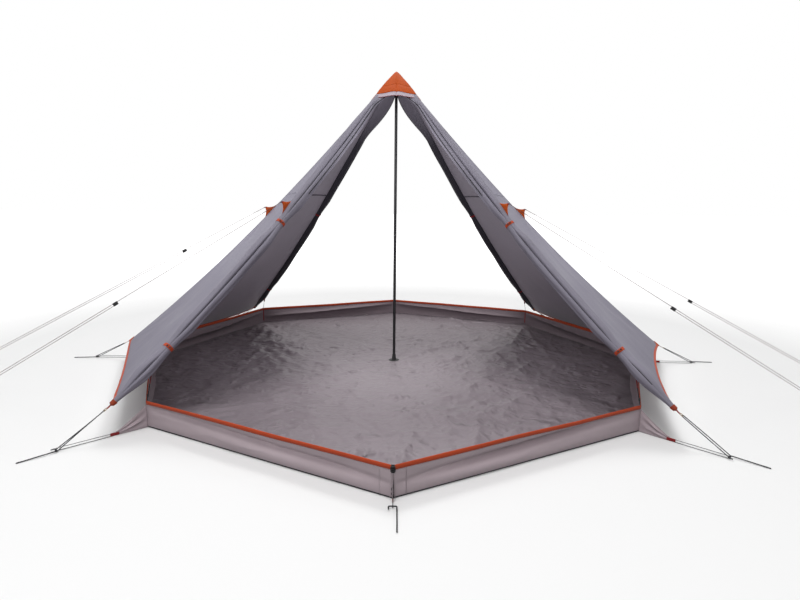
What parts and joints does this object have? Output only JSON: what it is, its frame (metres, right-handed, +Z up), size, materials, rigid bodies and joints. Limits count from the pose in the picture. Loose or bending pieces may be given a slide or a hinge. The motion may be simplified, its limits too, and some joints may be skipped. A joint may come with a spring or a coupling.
{
  "type": "pyramid tent",
  "caption": "Eight-sided tipi tent on a centre pole, with its doors rolled aside, a tub groundsheet, corner tie-outs and guy lines.",
  "frame": {"origin": "on the ground under the centre pole, in the middle of the groundsheet's underside", "axes": "+Z up along the pole, -Y towards the front door, +X to the right of one who looks in at the front door"},
  "size_m": [6.9383, 4.6402, 2.2501],
  "materials": {
    "groundsheet": "coated, faint sheen",
    "wall_cloth": "coated, soft sheen",
    "orange_binding": "woven tape",
    "fly_cloth": "coated, soft sheen",
    "door_cloth": "coated, soft sheen",
    "orange_cloth": "coated, soft sheen",
    "black_webbing": "woven",
    "black_plastic": "moulded",
    "pole_enamel": "semi-gloss",
    "foot_rubber": "matte",
    "peg_steel": "zinc plated",
    "guy_cord": "braided"
  },
  "bodies": {
    "tent": {"groundsheet_floor": "groundsheet", "tub_wall": "wall_cloth", "tub_binding": "orange_binding", "tub_wing_front": "wall_cloth", "corner_peg_front": "peg_steel", "tub_wing_front_right": "wall_cloth", "corner_peg_front_right": "peg_steel", "tub_wing_right": "wall_cloth", "corner_peg_right": "peg_steel", "tub_wing_back_right": "wall_cloth", "corner_peg_back_right": "peg_steel", "tub_wing_back": "wall_cloth", "corner_peg_back": "peg_steel", "tub_wing_back_left": "wall_cloth", "corner_peg_back_left": "peg_steel", "tub_wing_left": "wall_cloth", "corner_peg_left": "peg_steel", "tub_wing_front_left": "wall_cloth", "corner_peg_front_left": "peg_steel", "fly_left": "fly_cloth", "fly_right": "fly_cloth", "apex_cap": "orange_cloth", "apex_pocket": "black_webbing", "corner_strap_front_right": "black_webbing", "corner_strap_right": "black_webbing", "corner_strap_back_right": "black_webbing", "corner_strap_back_left": "black_webbing", "corner_strap_left": "black_webbing", "corner_strap_front_left": "black_webbing", "door_roll_front_left": "door_cloth", "door_roll_front_right": "door_cloth", "door_roll_back_left": "door_cloth", "door_roll_back_right": "door_cloth", "roll_tie_upper_left": "orange_binding", "roll_tie_upper_right": "orange_binding", "roll_tie_lower_left": "orange_binding", "roll_tie_lower_right": "orange_binding", "pole_lower": "pole_enamel", "pole_upper": "pole_enamel", "pole_foot": "foot_rubber", "guy_patch_left": "orange_cloth", "guy_line_left": "guy_cord", "guy_peg_left": "peg_steel", "guy_patch_front_left": "orange_cloth", "guy_line_front_left": "guy_cord", "guy_peg_front_left": "peg_steel", "guy_patch_right": "orange_cloth", "guy_line_right": "guy_cord", "guy_peg_right": "peg_steel", "guy_patch_front_right": "orange_cloth", "guy_line_front_right": "guy_cord", "guy_peg_front_right": "peg_steel"},
    "runner_left": {"guy_runner_left": "black_plastic"},
    "runner_front_left": {"guy_runner_front_left": "black_plastic"},
    "runner_right": {"guy_runner_right": "black_plastic"},
    "runner_front_right": {"guy_runner_front_right": "black_plastic"},
    "swivel_lower_left": {"toggle_lower_left": "black_plastic"},
    "swivel_lower_right": {"toggle_lower_right": "black_plastic"},
    "swivel_upper_left": {"toggle_upper_left": "black_plastic"},
    "swivel_upper_right": {"toggle_upper_right": "black_plastic"}
  },
  "joints": [
    {"name": "runner_left_slide", "type": "slide", "parent": "tent", "child": "runner_left", "axis": [0.8773, 0.1003, 0.4694], "range_m": [0, 0.3]},
    {"name": "runner_front_left_slide", "type": "slide", "parent": "tent", "child": "runner_front_left", "axis": [0.8526, 0.0718, 0.5176], "range_m": [0, 0.3]},
    {"name": "runner_right_slide", "type": "slide", "parent": "tent", "child": "runner_right", "axis": [-0.8773, 0.1003, 0.4694], "range_m": [0, 0.3]},
    {"name": "runner_front_right_slide", "type": "slide", "parent": "tent", "child": "runner_front_right", "axis": [-0.8526, 0.0718, 0.5176], "range_m": [0, 0.3]},
    {"name": "toggle_lower_left_swivel", "type": "hinge", "parent": "tent", "child": "swivel_lower_left", "pos_m": [-1.284, -1.329, 0.4579], "axis": [0.3872, -0.8376, 0.3854], "range_deg": [-90, 90]},
    {"name": "toggle_lower_right_swivel", "type": "hinge", "parent": "tent", "child": "swivel_lower_right", "pos_m": [1.284, -1.329, 0.4579], "axis": [-0.3872, -0.8376, 0.3854], "range_deg": [-90, 90]},
    {"name": "toggle_upper_left_swivel", "type": "hinge", "parent": "tent", "child": "swivel_upper_left", "pos_m": [-0.7349, -0.7799, 1.1514], "axis": [0.3676, -0.8572, 0.3607], "range_deg": [-90, 90]},
    {"name": "toggle_upper_right_swivel", "type": "hinge", "parent": "tent", "child": "swivel_upper_right", "pos_m": [0.7349, -0.7799, 1.1514], "axis": [-0.3676, -0.8572, 0.3607], "range_deg": [-90, 90]}
  ]
}
